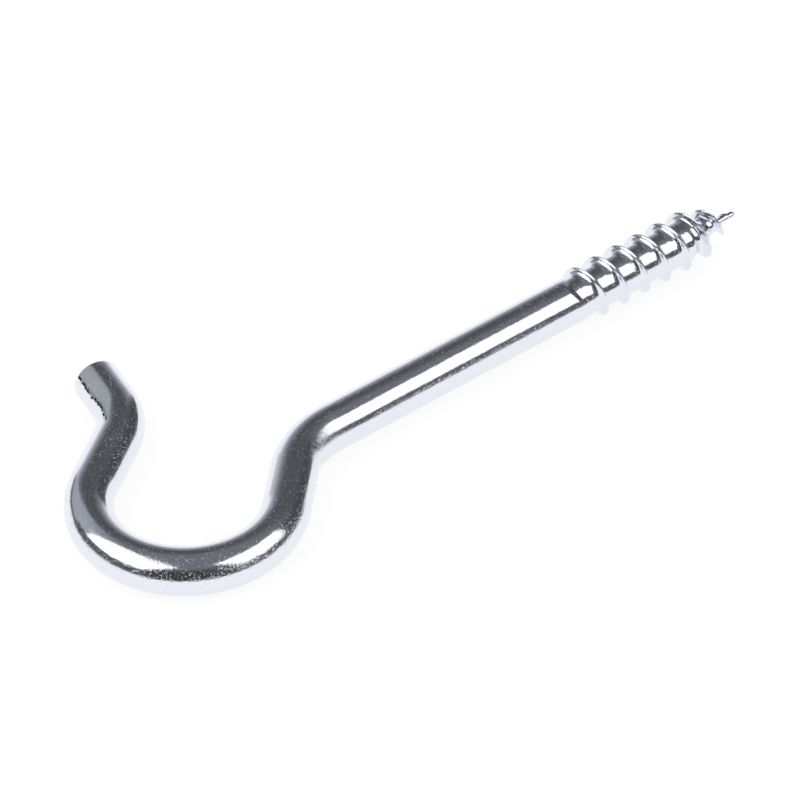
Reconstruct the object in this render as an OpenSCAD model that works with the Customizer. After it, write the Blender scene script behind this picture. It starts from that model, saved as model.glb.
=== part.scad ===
// Screw hook bent from one length of round steel wire: a rolled wood thread with a gimlet
// point, a plain shank, an open round hook centred on the shank, and a short end turned out.
// The wire's centreline lies in one level plane, and the thread's crests touch Z = 0.

/* [Wire] */
// Diameter of the round wire
wire_d = 6; // [4:0.1:8]
// Bevel around the cut face at the hook's open end
end_bevel = 0.35; // [0.1:0.05:0.8]

/* [Thread] */
// Length from the end of the plain shank to the point
thread_l = 26.8; // [20:0.1:45]
// Diameter over the crests
major_d = 7.3; // [6.6:0.1:10]
// Diameter between the crests
root_d = 5.6; // [3.6:0.1:5.8]
// Distance from one crest to the next
pitch = 3.42; // [2.6:0.02:4.4]
// Width of the ridge at its crest
crest_w = 0.15; // [0.1:0.05:0.5]
// Width of each steep flank of the ridge
flank_w = 0.35; // [0.2:0.05:0.6]
// Width of the gentle ramp before the flank that faces the shank
ramp_w = 0.65; // [0.2:0.05:0.9]
// Height of that ramp
ramp_h = 0.2; // [0.05:0.05:0.4]
// Distance from the shank's end to the first crest on the +Y side
crest_x = 1.2; // [0:0.1:2.6]
// Length over which the ridge rises at the shank's end
rise_l = 1.7; // [0.8:0.1:4]
// Length over which the wire narrows to the diameter between the crests
narrow_l = 0.8; // [0.4:0.1:2]

/* [Point] */
// Length of the tapered core and nib, from the last full diameter to the point
taper_l = 8.8; // [6:0.1:14]
// Length of the tapered crests, from the last full crest to the point
crest_taper_l = 6.9; // [5:0.1:12]
// Length of the slender nib ahead of the core's taper
nib_l = 2.9; // [1.2:0.1:4]
// Diameter of the nib
nib_d = 0.9; // [0.6:0.1:2.6]
// Diameter over the ridge where the nib begins
nib_major_d = 3.6; // [2.6:0.1:5]
// Distance from the ridge's end to the point
bare_l = 1; // [0.8:0.1:2]
// Diameter over the ridge close to its end
bare_major_d = 1.5; // [1.2:0.1:3]
// Length over which the ridge dies out
fade_l = 1; // [0.4:0.1:3]

/* [Shank and neck] */
// Length of the plain round shank
shank_l = 37.1; // [20:0.1:80]
// Angle of the bend between the shank and the hook
neck_angle = 44.4; // [30:0.1:60]
// Inside radius of that bend
neck_r = 10.6; // [6:0.1:13]

/* [Hook] */
// Inside diameter of the round hook
hook_d = 17.6; // [16:0.1:40]
// Distance of the hook's centre from the shank's axis, towards the open side
hook_offset = 0.3; // [0:0.1:1.5]
// Angle that the round part of the hook turns through
hook_angle = 189.8; // [170:0.1:200]
// Straight length between the round part and the end bend
lip_l = 7.6; // [3:0.1:15]

/* [Turned-out end] */
// Inside radius of the end bend
end_r = 6.1; // [4:0.1:10]
// Angle of the end bend
end_angle = 45.3; // [30:0.1:60]
// Straight length from the end bend to the cut face
end_l = 5.1; // [2:0.1:12]

/* [Hidden] */
zinc = [0.79, 0.81, 0.84];

wire_r = wire_d / 2;
major_r = major_d / 2;
root_r = root_d / 2;

// Centreline radii of the three bends
neck_mid_r = neck_r + wire_r;
hook_mid_r = hook_d / 2 + wire_r;
end_mid_r = end_r + wire_r;

// Straight length from the neck to the round part, which centres the hook on the shank
neck_drop = neck_mid_r * (1 - cos(neck_angle));
neck_l = (hook_mid_r * cos(neck_angle) - neck_drop - hook_offset) / sin(neck_angle);

// The wire's centreline, measured from the shank's threaded end
function step_on(from, heading, l) = from + l * [cos(heading), sin(heading)];
function round_on(from, heading, r, turn) =
    let (side = turn > 0 ? 90 : -90, centre = step_on(from, heading + side, r))
    step_on(centre, heading + turn - side, r);

head_1 = 180;
head_2 = head_1 + neck_angle;
head_3 = head_2 - hook_angle;
head_4 = head_3 + end_angle;
at_neck = step_on([0, 0], head_1, shank_l);
at_neck_end = round_on(at_neck, head_1, neck_mid_r, neck_angle);
at_hook = step_on(at_neck_end, head_2, neck_l);
at_hook_end = round_on(at_hook, head_2, hook_mid_r, -hook_angle);
at_end_bend = step_on(at_hook_end, head_3, lip_l);
at_end = round_on(at_end_bend, head_3, end_mid_r, end_angle);
at_cut = step_on(at_end, head_4, end_l);
hook_centre = step_on(at_hook, head_2 - 90, hook_mid_r);

// The part's outline in plan, for an origin under its middle
low_x = hook_centre[0] - hook_mid_r - wire_r;
low_y = hook_centre[1] - hook_mid_r - wire_r;
high_x = thread_l;
bevel_at = step_on(at_cut, head_4, -end_bevel);
high_y = max(at_cut[1] + (wire_r - end_bevel) * abs(cos(head_4)),
             bevel_at[1] + wire_r * abs(cos(head_4)));
middle = [(low_x + high_x) / 2, (low_y + high_y) / 2];

// Every cross-section has this many points
columns = 40;
// Largest angle from one cross-section of a bend to the next
step_angle = 6;

// The thread's surface is one strip that winds round the axis. Its cross-section over one
// pitch is a list of [distance from the crest, share of the ridge's height].
flank_at = crest_w / 2 + flank_w;
ramp_at = flank_at + ramp_w;
ridge = [[-pitch / 2, 0], [-ramp_at, 0], [-flank_at, ramp_h / (major_r - root_r)],
         [-crest_w / 2, 1], [crest_w / 2, 1], [flank_at, 0]];
rows = len(ridge);

// The strip starts on the plain shank and its ridge dies out on the nib. The seam is the
// share of a turn at which the last crest ends.
turns_before = 2;
ridge_end = thread_l - bare_l;
ridge_steps = round((ridge_end - crest_x) / pitch * columns);
seam = ridge_steps % columns / columns;
turns = floor(ridge_steps / columns) + turns_before;
first_crest = crest_x + pitch * (seam - turns_before);

// The rounded point has one ring of points between its rim and its end
nib_r = nib_d / 2;
tip_l = nib_r;
tip_share = 1 / 3;
tip_ring_r = nib_r * sqrt(1 - pow(1 - tip_share, 2));

function ramp(x, from, to) = min(1, max(0, (x - from) / (to - from)));
function core_at(x) = lookup(x, [
    [0, wire_r],
    [narrow_l, root_r],
    [thread_l - taper_l, root_r],
    [thread_l - nib_l, nib_r]]);
function crest_at(x) =
    let (
        full = lookup(x, [
            [thread_l - crest_taper_l, major_r],
            [thread_l - nib_l, nib_major_d / 2],
            [ridge_end, bare_major_d / 2]]),
        rise = ramp(x, 0, rise_l),
        fade = ramp(x, ridge_end, ridge_end - fade_l)
    )
    core_at(x) + (full - core_at(x)) * rise * fade;

// Point j of a cross-section of the wire, which faces against its heading
function section_point(at, heading, r, j) =
    let (a = 360 * (seam + j / columns), y = r * cos(a))
    [at[0] + y * sin(heading), at[1] - y * cos(heading), r * sin(a)];
function section(at, heading, r) = [for (j = [0:columns - 1]) section_point(at, heading, r, j)];
function on_axis(x, r, j) = section_point([x, 0], 180, r, j);

// Cross-sections through a bend, from its far end back to its start
function bend_sections(from, heading, mid_r, turn) =
    let (steps = ceil(abs(turn) / step_angle))
    [for (k = [steps:-1:0]) each
        section(round_on(from, heading, mid_r, turn * k / steps), heading + turn * k / steps, wire_r)];

function strip_point(i, j) =
    let (
        share = ridge[i % rows],
        x = first_crest + pitch * (floor(i / rows) + j / columns) + share[0]
    )
    on_axis(x, core_at(x) + (crest_at(x) - core_at(x)) * share[1], j);

// Faces between two rows of points that run round the part, j and its neighbour n
function band(a, b, j, n) = [[a + j, b + j, b + n], [a + j, b + n, a + n]];

// The whole hook is one surface: sections from the cut face through the bends to the shank,
// then the thread's strip, then two small rings and the point.
module hook_surface() {
    strip_start = strip_point(0, 0)[0];
    sections = concat(
        section(at_cut, head_4, wire_r - end_bevel),
        section(bevel_at, head_4, wire_r),
        bend_sections(at_end_bend, head_3, end_mid_r, end_angle),
        bend_sections(at_hook, head_2, hook_mid_r, -hook_angle),
        bend_sections(at_neck, head_1, neck_mid_r, neck_angle),
        section([strip_start - wire_r / 2, 0], head_1, wire_r));
    last = rows * turns - 1;
    strip = [for (i = [0:last], j = [0:columns - 1]) strip_point(i, j)];
    rims = [for (j = [0:columns - 1]) on_axis(thread_l - tip_l, nib_r, j),
            for (j = [0:columns - 1]) on_axis(thread_l - tip_l * tip_share, tip_ring_r, j)];
    shank_ring = len(sections) - columns;
    base = len(sections);
    rim = base + len(strip);
    rim_2 = rim + columns;
    cut_middle = rim_2 + columns;
    point = cut_middle + 1;
    edge = columns - 1;

    function next(j) = (j + 1) % columns;
    // Row i and column j of the strip, where the column after the last is the next turn's first
    function at(i, j) = base + (j < columns ? i * columns + j : (i + rows) * columns);

    cut_face = [for (j = [0:edge]) [cut_middle, j, next(j)]];
    tube = [for (a = [0:columns:shank_ring - 1], j = [0:edge]) each band(a, a + columns, j, next(j))];
    joining = [for (j = [0:edge - 1]) each band(shank_ring, base, j, j + 1)];
    start_seam = concat(
        [[shank_ring + edge, at(0, edge), shank_ring], [at(0, edge), at(0, 0), shank_ring]],
        [for (i = [0:rows - 1]) [at(0, edge), at(i + 1, 0), at(i, 0)]]);
    thread = [for (i = [0:last - 1], j = [0:edge])
        if (j < edge || i + 1 + rows <= last)
            each [[at(i, j), at(i + 1, j), at(i + 1, j + 1)], [at(i, j), at(i + 1, j + 1), at(i, j + 1)]]];
    end_seam = concat(
        [for (i = [last - rows:last - 1]) [at(i, edge), at(i + 1, edge), at(last, 0)]],
        [[at(last, edge), rim + edge, at(last, 0)], [rim + edge, rim, at(last, 0)]]);
    nib = [for (j = [0:edge - 1]) each band(at(last, 0), rim, j, j + 1)];
    tip = [for (j = [0:edge])
        each concat(band(rim, rim_2, j, next(j)), [[rim_2 + j, point, rim_2 + next(j)]])];
    polyhedron(
        points = concat(sections, strip, rims, [[at_cut[0], at_cut[1], 0], [thread_l, 0, 0]]),
        faces = concat(cut_face, tube, joining, start_seam, thread, end_seam, nib, tip));
}

module screw_hook() {
    color(zinc)
        translate([-middle[0], -middle[1], major_r])
            hook_surface();
}

screw_hook();
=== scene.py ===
import bpy
import numpy as np
from mathutils import Matrix, Quaternion, Vector


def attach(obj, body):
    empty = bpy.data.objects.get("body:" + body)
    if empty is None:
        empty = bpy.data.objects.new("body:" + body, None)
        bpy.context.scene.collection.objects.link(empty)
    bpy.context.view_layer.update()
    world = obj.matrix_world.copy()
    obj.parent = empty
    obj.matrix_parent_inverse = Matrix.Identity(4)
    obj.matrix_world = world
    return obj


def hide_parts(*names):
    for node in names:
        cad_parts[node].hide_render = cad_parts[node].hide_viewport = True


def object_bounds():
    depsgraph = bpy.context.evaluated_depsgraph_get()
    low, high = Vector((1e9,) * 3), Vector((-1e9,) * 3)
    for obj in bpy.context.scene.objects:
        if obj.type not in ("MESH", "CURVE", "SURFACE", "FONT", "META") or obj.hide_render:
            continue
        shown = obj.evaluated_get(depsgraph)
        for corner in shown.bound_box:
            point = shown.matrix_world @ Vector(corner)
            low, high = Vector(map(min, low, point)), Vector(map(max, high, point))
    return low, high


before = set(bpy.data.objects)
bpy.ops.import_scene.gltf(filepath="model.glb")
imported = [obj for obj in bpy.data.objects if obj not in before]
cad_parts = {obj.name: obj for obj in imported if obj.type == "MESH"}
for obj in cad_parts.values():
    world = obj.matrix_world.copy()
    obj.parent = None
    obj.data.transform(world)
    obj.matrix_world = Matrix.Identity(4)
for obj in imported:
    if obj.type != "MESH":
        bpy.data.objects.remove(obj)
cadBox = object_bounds()
mm = 0.001


# Lengths in millimetres and angles in degrees. The wire runs from the thread along the shank,
# round the neck, round the hook and out to the cut end. Bends are measured to its middle.
line = {
    "axisY": -5.604507,     # the shank's axis in the frame
    "wireRadius": 2.98,
    "shank": 38.0,
    "neckRadius": 11.4,
    "neckAngle": 44.4,      # the bend between the shank and the hook
    "hookRadius": 11.8,
    "hookAngle": 189.8,
    "hookOffset": 0.3,      # the hook's centre, from the shank's axis
    "lip": 7.6,             # straight length between the hook and the end bend
    "endRadius": 9.1,
    "endAngle": 45.3,
    "end": 5.09,            # straight length from that bend to the cut face
    "endRound": 0.55,       # the rim of the cut face
    "bendEase": 0.8,        # length over which the wire goes from straight to bent
    "step": 0.02,           # spacing of the points that the line is summed over
    "dentAt": 44.5,         # the shallow dent on the inner side of the neck
    "dentLength": 2.0,
    "dentDepth": 0.2,
    "dentFall": 1.5,        # power of the cosine by which it fades round the wire
}


# Curvature against distance is a staircase of runs and bends with its steps eased; heading is the
# running sum of curvature, and place is the running sum of the heading's cosine and sine.
def hookLine():
    def summed(rates):
        return np.concatenate([[0], np.cumsum(rates) * line["step"]])

    def halfway(values):
        return (values[1:] + values[:-1]) / 2

    neck = np.radians(line["neckAngle"])
    neckDrop = line["neckRadius"] * (1 - np.cos(neck))
    neckRun = (line["hookRadius"] * np.cos(neck) - neckDrop - line["hookOffset"]) / np.sin(neck)
    bends = [(line["neckRadius"], line["neckAngle"]),
             (line["hookRadius"], -line["hookAngle"]),
             (line["endRadius"], line["endAngle"])]
    lengths = [line["shank"]]
    curves = [0.0]
    for (radius, angle), run in zip(bends, [neckRun, line["lip"], line["end"]]):
        lengths += [radius * np.radians(abs(angle)), run]
        curves += [np.sign(angle) / radius, 0.0]
    stops = np.cumsum([0.0] + lengths)
    distance = np.arange(0, stops[-1] + line["step"], line["step"])
    ease = line["bendEase"] / 2
    edges = np.concatenate([stops[1:-1] - ease, stops[1:-1] + ease])
    levels = np.concatenate([curves[:-1], curves[1:]])
    order = np.argsort(edges)
    curve = np.interp(distance, edges[order], levels[order], left=0, right=0)
    heading = np.pi + summed(halfway(curve))
    east = summed(np.cos(halfway(heading)))
    north = summed(np.sin(halfway(heading)))
    return distance, east, north, heading


thread = {
    "length": 26.8,
    "crestRadius": 3.645,
    "rootRadius": 2.8,
    "pitch": 3.42,
    # the ridge's height across its width, a gentle ramp on the shank's side and two steep flanks
    "ridgeAt": [-1.08, -0.43, -0.08, 0.08, 0.43],
    "ridgeHeight": [0, 0.25, 1, 1, 0],
    "edgeRound": 0.12,      # length to either side over which its edges are rounded
    "roundSamples": 7,
    "firstCrest": 1.2,      # on the side that faces the hook's open side
    "riseAt": [-1.9, 0, 1.7],       # distances over which the ridge grows out of the shank
    "riseShare": [0, 0.1, 1],
    "narrow": 0.8,          # length over which the wire narrows to the core
    "narrowAt": -1.4,       # where that starts on one side of the wire, instead of at 0
    "narrowSide": 110,      # that side's angle, and how far the early start reaches round from it
    "narrowWidth": 50,
    "taper": 8.8,           # from the last full core to the point, and from the last full crest
    "crestTaper": 6.9,
    "nib": 2.9,             # the slender end of the point
    "nibRadius": 0.45,
    "nibCrestRadius": 1.8,
    "bare": 1.0,            # its last stretch, which has no ridge
    "bareCrestRadius": 0.75,
    "fade": 1.0,            # length over which the ridge dies out before it
}


# Core radius at distance x: the wire's, then the root's, then a cone to the nib and a round point.
# The step between the first two starts earlier on one side, by a bell over the angle.
def coreRadius(x, angle):
    g = thread
    aside = (np.degrees(angle) - g["narrowSide"] + 180) % 360 - 180
    start = g["narrowAt"] * np.exp(-(aside / g["narrowWidth"]) ** 2)
    step = 1 - np.clip((x - start) / g["narrow"], 0, 1)
    core = np.interp(x, [g["length"] - g["taper"], g["length"] - g["nib"]],
                     [g["rootRadius"], g["nibRadius"]])
    core = core + (line["wireRadius"] - g["rootRadius"]) * step
    back = np.clip(g["length"] - x, 0, g["nibRadius"])
    cap = np.sqrt(np.maximum(back * (2 * g["nibRadius"] - back), 0))
    return np.where(x > g["length"] - g["nibRadius"], cap, core)


# Ridge: distance from the helix line decides the height, with the crest and the foot rounded off
# by the mean of the heights a little to either side.
def threadRadius(x, angle):
    g = thread
    core = coreRadius(x, angle)
    ridgeEnd = g["length"] - g["bare"]
    full = np.interp(x, [g["length"] - g["crestTaper"], g["length"] - g["nib"], ridgeEnd],
                     [g["crestRadius"], g["nibCrestRadius"], g["bareCrestRadius"]])
    grow = np.interp(x, g["riseAt"], g["riseShare"])
    fade = np.clip((ridgeEnd - x) / g["fade"], 0, 1)
    off = x - g["firstCrest"] - g["pitch"] * angle / (2 * np.pi)
    off = off - g["pitch"] * np.round(off / g["pitch"])
    share = 0
    for shift in np.linspace(-g["edgeRound"], g["edgeRound"], g["roundSamples"]):
        share = share + np.interp(off + shift, g["ridgeAt"], g["ridgeHeight"]) / g["roundSamples"]
    return core + np.maximum(full - core, 0) * grow * fade * share


# How the surface is divided: into rings of points along the wire, and a strip that winds on as
# the thread.
division = {
    "columns": 120,         # points round the wire
    "faceRings": 8,         # rings over the flat of the cut face, and over its round rim
    "rimRings": 6,
    "rimGap": 0.3,          # millimetres from the rim to the first ring of the wire
    "ringGap": 0.33,        # and from ring to ring
    "stripGap": 0.5,        # least distance from the last ring to the thread's strip
    "turnsBefore": 2,       # turns of the strip that lie on the plain shank
    "turnsAtPoint": 2.6,    # turns of the strip that close in on the point
    "rowsPerTurn": 36,
    "crowding": 0.66,       # how much closer the rows lie at the crest
}
columns = division["columns"]
angles = 2 * np.pi * np.arange(columns) / columns
stripStart = thread["firstCrest"] - division["turnsBefore"] * thread["pitch"]


# A ring of points stands square on the line at each distance: on the cut face with growing
# radius, over its rim by a quarter circle, and then along the wire with the dent taken off, a bell
# over distance that is deepest on the side that faces away from the open side.
def wireRings(distance, east, north, heading):
    wire = line["wireRadius"]
    rim = line["endRound"]
    total = distance[-1]
    faceShare = np.linspace(0, 1, division["faceRings"] + 1)[1:]
    rimTurn = np.linspace(0, np.pi / 2, division["rimRings"] + 1)[1:]
    plain = np.arange(total - rim - division["rimGap"], division["stripGap"] - stripStart,
                      -division["ringGap"])
    at = np.concatenate([np.full(len(faceShare), total),
                         total - rim * (1 - np.cos(rimTurn)),
                         plain])
    radius = np.concatenate([(wire - rim) * faceShare,
                             wire - rim * (1 - np.sin(rimTurn)),
                             np.full(len(plain), wire)])
    dent = line["dentDepth"] * np.exp(-((at - line["dentAt"]) / line["dentLength"]) ** 2)
    inner = np.maximum(-np.cos(angles), 0) ** line["dentFall"]
    dented = radius[:, None] - dent[:, None] * inner
    y = dented * np.cos(angles)
    z = dented * np.sin(angles)
    head = np.interp(at, distance, heading)[:, None]
    bent = np.stack([np.interp(at, distance, east)[:, None] + y * np.sin(head),
                     np.interp(at, distance, north)[:, None] - y * np.cos(head), z], -1)
    straight = np.stack([np.broadcast_to(-at[:, None], y.shape), y, z], -1)
    return bent, straight


# From the thread on, one long strip of rows winds on, each point a share of a turn after the last,
# with distance in proportion to turns at first and closing in on the point at last.
def threadStrip():
    g = thread
    nibStart = g["length"] - g["bare"]
    straightTurns = (nibStart - stripStart) / g["pitch"]
    rows = int(np.ceil((straightTurns + division["turnsAtPoint"]) * division["rowsPerTurn"])) + 1
    k = np.arange(rows) / division["rowsPerTurn"]
    crowded = k - division["crowding"] * np.sin(2 * np.pi * k) / (2 * np.pi)
    x = stripStart + g["pitch"] * (crowded[:, None] + angles / (2 * np.pi))
    beyond = np.maximum(x - nibStart, 0)
    x = np.where(beyond > 0, g["length"] - g["bare"] * np.exp(-beyond / g["bare"]), x)
    radius = threadRadius(x, angles)
    return np.stack([x, radius * np.cos(angles), radius * np.sin(angles)], -1)


# One face for each entry of the arrays of point numbers, with its corners in the given order.
def facesOf(*corners):
    return np.stack(np.broadcast_arrays(*corners), -1).reshape(-1, len(corners))


# The rings come first in the points, then the strip's rows, then the middle of the cut face and
# the point. Each row of the strip ends where the row one turn later starts.
def hookFaces(rings, rows):
    rowsPerTurn = division["rowsPerTurn"]
    base = rings * columns
    lastRing = base - columns
    lastRow = base + (rows - 1) * columns
    cutMiddle = base + rows * columns
    point = cutMiddle + 1
    edge = columns - 1
    every = np.arange(columns)
    after = (every + 1) % columns
    inner = every[:-1]
    ring = (np.arange(rings - 1) * columns)[:, None]
    row = base + (np.arange(rows - 1) * columns)[:, None]
    ending = base + np.arange(rows - 1 - rowsPerTurn) * columns
    ahead = ending + rowsPerTurn * columns
    first = base + np.arange(rowsPerTurn) * columns
    final = lastRow + np.arange(-rowsPerTurn, 0) * columns
    quads = [
        facesOf(ring + every, ring + columns + every, ring + columns + after, ring + after),
        facesOf(lastRing + inner, base + inner, base + inner + 1, lastRing + inner + 1),
        facesOf(row + inner, row + columns + inner, row + columns + inner + 1, row + inner + 1),
        facesOf(ending + edge, ending + columns + edge, ahead + columns, ahead),
    ]
    tris = [
        facesOf(cutMiddle, every, after),
        facesOf(base + edge, first + columns, first),
        facesOf(lastRing + edge, base + edge, base),
        facesOf(lastRing + edge, base, lastRing),
        facesOf(final + edge, final + columns + edge, lastRow),
        facesOf(lastRow + inner, point, lastRow + inner + 1),
        facesOf(lastRow + edge, point, lastRow),
    ]
    return np.concatenate(quads).tolist() + np.concatenate(tris).tolist()


# All points, on the bent line and on the same wire laid straight, where the finish is worked out.
def hookSurface():
    distance, east, north, heading = hookLine()
    bent, straight = wireRings(distance, east, north, heading)
    strip = threadStrip()
    tip = [thread["length"], 0, 0]
    points = np.concatenate([bent.reshape(-1, 3), strip.reshape(-1, 3),
                             [[east[-1], north[-1], 0], tip]])
    unbent = np.concatenate([straight.reshape(-1, 3), strip.reshape(-1, 3),
                             [[-distance[-1], 0, 0], tip]])
    return points, hookFaces(len(bent), len(strip)), unbent


# A smooth-shaded piece whose place is in its mesh, with its object at the origin.
def makeMesh(name, points, faces):
    mesh = bpy.data.meshes.new(name)
    mesh.from_pydata(points.tolist(), [], faces)
    mesh.polygons.foreach_set("use_smooth", np.ones(len(mesh.polygons), bool))
    mesh.update()
    piece = bpy.data.objects.new(name, mesh)
    bpy.context.scene.collection.objects.link(piece)
    return piece


# One number for each point of a piece, for its material to read.
def addLayer(piece, name, values):
    layer = piece.data.attributes.new(name, "FLOAT", "POINT")
    layer.data.foreach_set("value", values.astype(np.float32).ravel())


points, faces, unbent = hookSurface()
threadStart = [cadBox[1].x / mm - thread["length"], line["axisY"], thread["crestRadius"]]
hook = makeMesh("hook_wire", (points + np.array(threadStart)) * mm, faces)
straight = hook.data.attributes.new("unbent", "FLOAT_VECTOR", "POINT")
straight.data.foreach_set("vector", unbent.astype(np.float32).ravel())
print("hook:", len(points), "points,", sum(len(f) - 2 for f in faces), "triangles")


marks = {
    # each place: distance from the thread, angle round the wire (0 on the open side, 90 on top),
    # half length, half width in degrees, strength
    "gritty": [
        (67, 149, 9, 10, 1.0),
        (56, 142, 3, 12, 0.8),
        (43, 138, 3.5, 18, 1.4),
        (98, 68, 3, 26, 0.6),
        (73, 116, 4, 9, 0.7),
        (20, 154, 22, 6, 0.7),
        (90, 152, 14, 8, 0.5),
    ],
    # the seam follows where the dark horizon is mirrored near the cut end: the plate is torn along
    # it, and a near-black colour is painted there as a painted reflection
    "seamAlong": [101.4, 103, 105, 107, 109, 111, 112.3],   # the torn line at the cut end
    "seamAngle": [117, 131, 139, 145, 148, 146, 143],
    "seamReach": 12,        # degrees to either side over which the offset from the seam is kept
    "seamWide": 3,          # reaches over which the torn line may show at all
    "seamEnd": 0.3,         # length over which the seam ends
}


# Grit is a sum of patches, each a bell over distance and angle. The other two layers are the angle
# from the seam, as a share of its reach, and 1 near the seam and 0 elsewhere.
def markStrength(unbent):
    along = -unbent[:, 0]
    angle = np.degrees(np.arctan2(unbent[:, 2], unbent[:, 1]))

    def aside(turn):
        return (angle - turn + 180) % 360 - 180

    grit = 0
    for middle, turn, length, width, strength in marks["gritty"]:
        bell = np.exp(-((along - middle) / length) ** 2 - (aside(turn) / width) ** 2)
        grit = grit + strength * bell
    offset = aside(np.interp(along, marks["seamAlong"], marks["seamAngle"])) / marks["seamReach"]
    first, last = marks["seamAlong"][0], marks["seamAlong"][-1]
    beyond = np.maximum(first - along, 0) + np.maximum(along - last, 0)
    close = (np.clip(marks["seamWide"] - np.abs(offset), 0, 1)
             * np.clip(1 - beyond / marks["seamEnd"], 0, 1))
    return grit, np.clip(offset, -1, 1), close


for name, values in zip(("grit", "seam", "close"), markStrength(unbent)):
    addLayer(hook, name, values)
print("marks:", len(marks["gritty"]), "gritty places and a seam")


def newMaterial(name):
    material = bpy.data.materials.new(name)
    material.use_nodes = True
    material.node_tree.nodes.clear()
    return material, material.node_tree.nodes, material.node_tree.links


nodeChoices = ("operation", "attribute_name", "interpolation_type", "data_type")


# A setting is one of the node's own choices, or else the value of a socket.
def addNode(nodes, kind, **settings):
    node = nodes.new(kind)
    for key, value in settings.items():
        if key in nodeChoices:
            setattr(node, key, value)
        else:
            node.inputs[key].default_value = value
    return node


# A noise is given by its size in millimetres, how much longer it is along the wire, and its detail.
finish = {
    "colour": (0.80, 0.822, 0.885, 1),
    "roughness": (0.04, 0.22),      # where the plate is smooth, and in the grain
    "roughLevel": (0.42, 0.72),     # levels of the grain at which those are reached
    "waves": (2.6, 2.5, 0.0),       # shallow waves
    "waveHeight": 0.012,
    "lines": (0.35, 12, 2.0),       # marks that were drawn along the wire
    "lineHeight": 0.0022,
    "grain": (0.18, 1.4, 2.0),
    "grainHeight": (0.011, 0.032),  # where the plate is smooth, and in the gritty places
    "specks": (0.18, 1.2, 1.0),     # small pits
    "speckGrit": 0.10,              # how much the gritty places raise their noise
    "speckLevel": (0.66, 0.77),     # levels at which a pit starts, and at which it is full
    "speckDepth": 0.016,
    # the torn line, which also carries the painted dark reflection: its noise, raggedness and
    # levels shape both
    "tearAndPaint": (0.45, 1.5, 2.0),       # the torn line
    "tearAndPaintRagged": 1.8,              # how much its noise counts against distance from the seam
    "tearAndPaintLevel": (0.64, 0.76),
    "tearDepth": 0.05,
    # painted reflection: a near-black colour painted along the torn line, where the dark horizon is
    # mirrored
    "paintedDarkColour": (0.05, 0.055, 0.06, 1),
}


# Height = waves + marks along the wire + grain - pits - the torn line, all noises over the
# straight wire's points. The plate is torn where the noise outweighs the distance from the seam,
# and there its colour is painted near black as a painted reflection of the dark horizon.
def zincPlate():
    f = finish
    material, nodes, links = newMaterial("zinc plate")
    out = addNode(nodes, "ShaderNodeOutputMaterial")
    shader = addNode(nodes, "ShaderNodeBsdfPrincipled", Metallic=1.0)
    place = addNode(nodes, "ShaderNodeAttribute", attribute_name="unbent")

    def feed(value, socket):
        if isinstance(value, (int, float)):
            socket.default_value = value
        else:
            links.new(value, socket)

    def layer(name):
        return addNode(nodes, "ShaderNodeAttribute", attribute_name=name).outputs["Fac"]

    def noise(size, stretch, detail):
        fit = addNode(nodes, "ShaderNodeMapping", Scale=(1 / (size * stretch), 1 / size, 1 / size))
        feed(place.outputs["Vector"], fit.inputs["Vector"])
        cloud = addNode(nodes, "ShaderNodeTexNoise", Scale=1.0, Detail=detail, Roughness=0.5)
        feed(fit.outputs["Vector"], cloud.inputs["Vector"])
        return cloud.outputs["Fac"]

    def worked(operation, *values):
        node = addNode(nodes, "ShaderNodeMath", operation=operation)
        for value, socket in zip(values, node.inputs):
            feed(value, socket)
        return node.outputs[0]

    def scaled(value, factor):
        return worked("MULTIPLY", value, factor)

    def added(one, two):
        return worked("ADD", one, two)

    def mapped(value, start, stop, low, high, kind):
        node = addNode(nodes, "ShaderNodeMapRange", interpolation_type=kind)
        sockets = ("Value", "From Min", "From Max", "To Min", "To Max")
        for key, given in zip(sockets, (value, start, stop, low, high)):
            feed(given, node.inputs[key])
        return node.outputs["Result"]

    def eased(value, start, stop):
        return mapped(value, start, stop, 0.0, 1.0, "SMOOTHSTEP")

    grit = layer("grit")
    grain = noise(*f["grain"])
    low, high = f["grainHeight"]
    height = scaled(noise(*f["waves"]), f["waveHeight"])
    height = added(height, scaled(noise(*f["lines"]), f["lineHeight"]))
    height = added(height, scaled(grain, worked("MULTIPLY_ADD", grit, high - low, low)))
    specks = eased(added(noise(*f["specks"]), scaled(grit, f["speckGrit"])), *f["speckLevel"])
    height = added(height, scaled(specks, -f["speckDepth"]))
    away = worked("ABSOLUTE", layer("seam"))
    tearAndPaint = added(scaled(noise(*f["tearAndPaint"]), f["tearAndPaintRagged"]), scaled(away, -1.0))
    tornAndPainted = scaled(eased(tearAndPaint, *f["tearAndPaintLevel"]), layer("close"))
    height = added(height, scaled(tornAndPainted, -f["tearDepth"]))

    # painted reflection: the base colour is mixed to near black along the torn line
    paintedDarkMix = addNode(nodes, "ShaderNodeMix", data_type="RGBA")
    factor, clean, dark = paintedDarkMix.inputs[0], paintedDarkMix.inputs[6], paintedDarkMix.inputs[7]
    clean.default_value, dark.default_value = f["colour"], f["paintedDarkColour"]
    feed(tornAndPainted, factor)
    feed(paintedDarkMix.outputs[2], shader.inputs["Base Color"])
    feed(mapped(grain, *f["roughLevel"], *f["roughness"], "LINEAR"), shader.inputs["Roughness"])
    bump = addNode(nodes, "ShaderNodeBump", Strength=1.0, Distance=mm)
    feed(height, bump.inputs["Height"])
    feed(bump.outputs["Normal"], shader.inputs["Normal"])
    feed(shader.outputs["BSDF"], out.inputs["Surface"])
    return material


hook.data.materials.append(zincPlate())
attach(hook, "root")
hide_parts("screw_hook")
print("finish: zinc plate")


# The view that the outline of the real hook was matched from, in millimetres and degrees.
shot = {
    "aim": (-4.7175, -6.884, 3.65),
    "elevation": 41.971,
    "heading": 52.224,
    "roll": -0.700,
    "distance": 566.574,
    "focal": 4649.75,       # in pixels of the frame
    "frame": 800,           # the picture's width in pixels
    "sensor": 36,           # the sensor's width in millimetres
    "clip": (0.01, 20),     # metres
}


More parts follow.
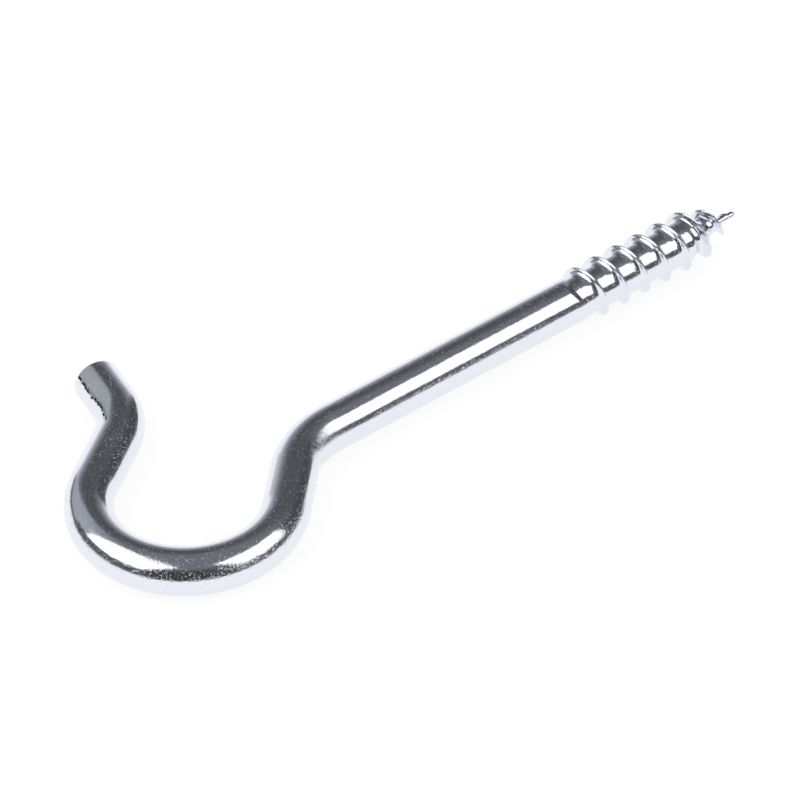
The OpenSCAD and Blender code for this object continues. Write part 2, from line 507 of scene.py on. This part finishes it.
# The camera stands back from the aim along its line of sight, and rolls about that line.
def placeCamera():
    up, over, roll = np.radians([shot["elevation"], shot["heading"], shot["roll"]])
    forward = np.array([np.cos(up) * np.cos(over), np.cos(up) * np.sin(over), -np.sin(up)])
    right = np.array([np.sin(over), -np.cos(over), 0])
    above = np.cross(right, forward)
    right, above = (right * np.cos(roll) + above * np.sin(roll),
                    above * np.cos(roll) - right * np.sin(roll))
    data = bpy.data.cameras.new("camera")
    data.sensor_width = shot["sensor"]
    data.lens = shot["focal"] * shot["sensor"] / shot["frame"]
    data.clip_start, data.clip_end = shot["clip"]
    camera = bpy.data.objects.new("camera", data)
    bpy.context.scene.collection.objects.link(camera)
    where = (np.array(shot["aim"]) - shot["distance"] * forward) * mm
    camera.matrix_world = Matrix((
        (right[0], above[0], -forward[0], where[0]),
        (right[1], above[1], -forward[1], where[1]),
        (right[2], above[2], -forward[2], where[2]),
        (0, 0, 0, 1)))
    bpy.context.scene.camera = camera


placeCamera()
print("camera:", shot["distance"], "mm away")


# Azimuth turns from +X towards +Y, elevation is above the floor, both in degrees.
def direction(azimuth, elevation):
    a, e = np.radians(azimuth), np.radians(elevation)
    return np.stack([np.cos(a) * np.cos(e), np.sin(a) * np.cos(e), np.sin(e)], -1)


lamps = {
    # azimuths and elevations as seen from the hook, and how far it leans over, in degrees
    "softboxes": {
        "softbox left": ((134, 199), (11, 67), 8),
        "softbox right": ((268, 330), (22, 63), 2),
    },
    "distance": 0.45,       # metres
    "radiance": 1.5,
}


# A rectangular lamp that fills the given spread of directions. Its width and height are twice the
# distance times the tangent of half the spread.
def placeSoftbox(name, azimuths, elevations, lean):
    middle = (np.mean(azimuths), np.mean(elevations))
    toward = direction(*middle)
    reach = 2 * lamps["distance"]
    width = reach * np.tan(np.radians(np.ptp(azimuths) / 2)) * np.cos(np.radians(middle[1]))
    height = reach * np.tan(np.radians(np.ptp(elevations) / 2))
    data = bpy.data.lights.new(name, "AREA")
    data.shape = "RECTANGLE"
    data.size, data.size_y = width, height
    data.energy = lamps["radiance"] * width * height * np.pi
    lamp = bpy.data.objects.new(name, data)
    lamp.location = toward * lamps["distance"]
    lamp.rotation_mode = "QUATERNION"
    facing = Vector(toward).to_track_quat("Z", "Y")
    lamp.rotation_quaternion = facing @ Quaternion((0, 0, 1), np.radians(-lean))
    lamp.visible_camera = False
    bpy.context.scene.collection.objects.link(lamp)


for name, place in lamps["softboxes"].items():
    placeSoftbox(name, *place)
print("lamps:", len(lamps["softboxes"]), "softboxes")


# What the plate mirrors besides the lamps. A place in the room is its middle azimuth with the
# degrees to either side where it is full and where it ends, and the pairs are elevations between
# which it comes in or fades out.
below = (-3, -2)            # under the floor, for what is there from the lowest elevation on
surround = {
    "radius": 0.9,          # metres, as all lengths here
    "azimuths": (0, 360, 145),      # first, last and number of points
    "elevations": (-1.5, 90, 93),
    "tint": (0.96, 0.99, 1.05, 1),
    "grey": 0.12,           # low down, and what is added overhead
    "greyAdded": 0.06,
    "greyRise": (30, 60),
    "dark": (0.05, (215, 28, 50), below, (26, 48)),     # round the camera
    "shade": 0.55,          # taken off close to the floor on the camera's side
    "shadeAt": (230, 45, 80),
    "shadeFade": (3, 12),
    "patches": [
        (0.075, (5, 22, 50), (2, 12), (30, 60)),        # past the thread's point
        (0.10, (50, 30, 50), (26, 34), (50, 66)),       # over the sweep of paper
        (0.40, (109, 18, 32), (5, 12), (40, 66)),       # a lit wall on the far left
    ],
    "sweepAt": (58, 29, 35),        # the sweep of paper that rises behind the hook
    "sweepFade": (34, 48),
    "sweepFull": 3,         # elevation up to which it is white, and how fast it falls off
    "sweepFall": 15,
    "cardRadius": 0.10,     # the low dark card in front of the hook
    "cardAzimuths": (145, 345, 81),
    "cardHeight": 0.028,
    "cardGrey": 0.10,
    "cardDark": 0.05,       # taken off in its middle, by a bell
    "cardDarkAt": (222, 35),
}


# An S-curve from 0 at start to 1 at stop.
def smooth(x, start, stop):
    s = np.clip((x - start) / (stop - start), 0, 1)
    return s * s * (3 - 2 * s)


# Brightness of the room in each direction: grey, and each place blended over it in turn by its
# share, which is the product of its S-curves over azimuth and elevation.
def roomGlow(azimuth, elevation):
    s = surround

    def near(middle, full, none):
        away = np.abs((azimuth - middle + 180) % 360 - 180)
        return 1 - smooth(away, full, none)

    def blended(glow, level, place, comes, fades):
        share = near(*place) * smooth(elevation, *comes) * (1 - smooth(elevation, *fades))
        return glow + (level - glow) * share

    glow = s["grey"] + s["greyAdded"] * smooth(elevation, *s["greyRise"])
    glow = blended(glow, *s["dark"])
    glow = blended(glow, (1 - s["shade"]) * glow, s["shadeAt"], below, s["shadeFade"])
    for patch in s["patches"]:
        glow = blended(glow, *patch)
    white = np.exp(-np.maximum(elevation - s["sweepFull"], 0) / s["sweepFall"])
    return blended(glow, white, s["sweepAt"], below, s["sweepFade"])


# A grid of points that only reflections see, lit by the brightness given for each point.
def makeGlowing(name, points, brightness):
    rows, n = brightness.shape
    i, j = np.meshgrid(np.arange(rows - 1), np.arange(n - 1), indexing="ij")
    a = (i * n + j).ravel()
    room = makeMesh(name, points.reshape(-1, 3), facesOf(a, a + 1, a + n + 1, a + n).tolist())
    addLayer(room, "glow", brightness)
    material, nodes, links = newMaterial(name)
    out = addNode(nodes, "ShaderNodeOutputMaterial")
    emission = addNode(nodes, "ShaderNodeEmission", Color=surround["tint"])
    value = addNode(nodes, "ShaderNodeAttribute", attribute_name="glow")
    links.new(value.outputs["Fac"], emission.inputs["Strength"])
    links.new(emission.outputs["Emission"], out.inputs["Surface"])
    material.cycles.emission_sampling = "NONE"
    room.data.materials.append(material)
    room.visible_camera = False
    room.visible_diffuse = False
    room.visible_shadow = False


# The dome is a sphere over the hook. The card is a part of a low ring round it.
def makeRoom():
    s = surround
    azimuths, elevations = np.meshgrid(np.linspace(*s["azimuths"]), np.linspace(*s["elevations"]))
    dome = direction(azimuths, elevations) * s["radius"]
    makeGlowing("room", dome, roomGlow(azimuths, elevations))
    azimuths, heights = np.meshgrid(np.linspace(*s["cardAzimuths"]), [0.0, s["cardHeight"]])
    ring = direction(azimuths, 0 * azimuths) * s["cardRadius"]
    ring[..., 2] = heights
    middle, width = s["cardDarkAt"]
    dark = np.exp(-((azimuths - middle) / width) ** 2)
    makeGlowing("card", ring, s["cardGrey"] - s["cardDark"] * dark)


makeRoom()
print("room: a dome and a card")


# The floor touches the hook in two places, given by X and height. Lengths are in metres.
ground = {
    "crest": (0.0276, 0.0),         # the thread's first low crest
    "hookSide": (-0.0474, 0.00065), # the far side of the hook
    "half": 3.0,                    # half of the floor's width
    "colour": (0.9, 0.9, 0.9, 1),
    "white": 0.85,                  # share of plain white that the camera and reflections see
}


# A square that is level along Y and follows the line through those two places along X.
def makeFloor():
    (crestX, crestZ), (sideX, sideZ) = ground["crest"], ground["hookSide"]
    slope = (sideZ - crestZ) / (sideX - crestX)
    half = ground["half"]
    corners = np.array([[-half, -half], [half, -half], [half, half], [-half, half]])
    points = np.column_stack([corners, crestZ + slope * (corners[:, 0] - crestX)])
    floor = makeMesh("floor", points, [[0, 1, 2, 3]])
    material, nodes, links = newMaterial("floor")
    out = addNode(nodes, "ShaderNodeOutputMaterial")
    diffuse = addNode(nodes, "ShaderNodeBsdfDiffuse", Color=ground["colour"])
    emission = addNode(nodes, "ShaderNodeEmission", Strength=1.0)
    path = addNode(nodes, "ShaderNodeLightPath")
    seen = addNode(nodes, "ShaderNodeMath", operation="MAXIMUM")
    links.new(path.outputs["Is Camera Ray"], seen.inputs[0])
    links.new(path.outputs["Is Glossy Ray"], seen.inputs[1])
    either = addNode(nodes, "ShaderNodeMath", operation="MAXIMUM")
    links.new(seen.outputs[0], either.inputs[0])
    links.new(path.outputs["Is Transmission Ray"], either.inputs[1])
    share = addNode(nodes, "ShaderNodeMath", operation="MULTIPLY")
    links.new(either.outputs[0], share.inputs[0])
    share.inputs[1].default_value = ground["white"]
    mix = addNode(nodes, "ShaderNodeMixShader")
    links.new(share.outputs[0], mix.inputs["Fac"])
    links.new(diffuse.outputs[0], mix.inputs[1])
    links.new(emission.outputs[0], mix.inputs[2])
    links.new(mix.outputs[0], out.inputs["Surface"])
    material.cycles.emission_sampling = "NONE"
    floor.data.materials.append(material)


# Plain white all round.
def makeWorld():
    world = bpy.data.worlds.new("studio")
    bpy.context.scene.world = world
    world.use_nodes = True
    nodes, links = world.node_tree.nodes, world.node_tree.links
    nodes.clear()
    out = addNode(nodes, "ShaderNodeOutputWorld")
    background = addNode(nodes, "ShaderNodeBackground", Color=(1, 1, 1, 1), Strength=1.0)
    links.new(background.outputs[0], out.inputs["Surface"])


makeFloor()
makeWorld()
bpy.context.scene.view_settings.view_transform = "Standard"
print("studio: a floor and a white world")
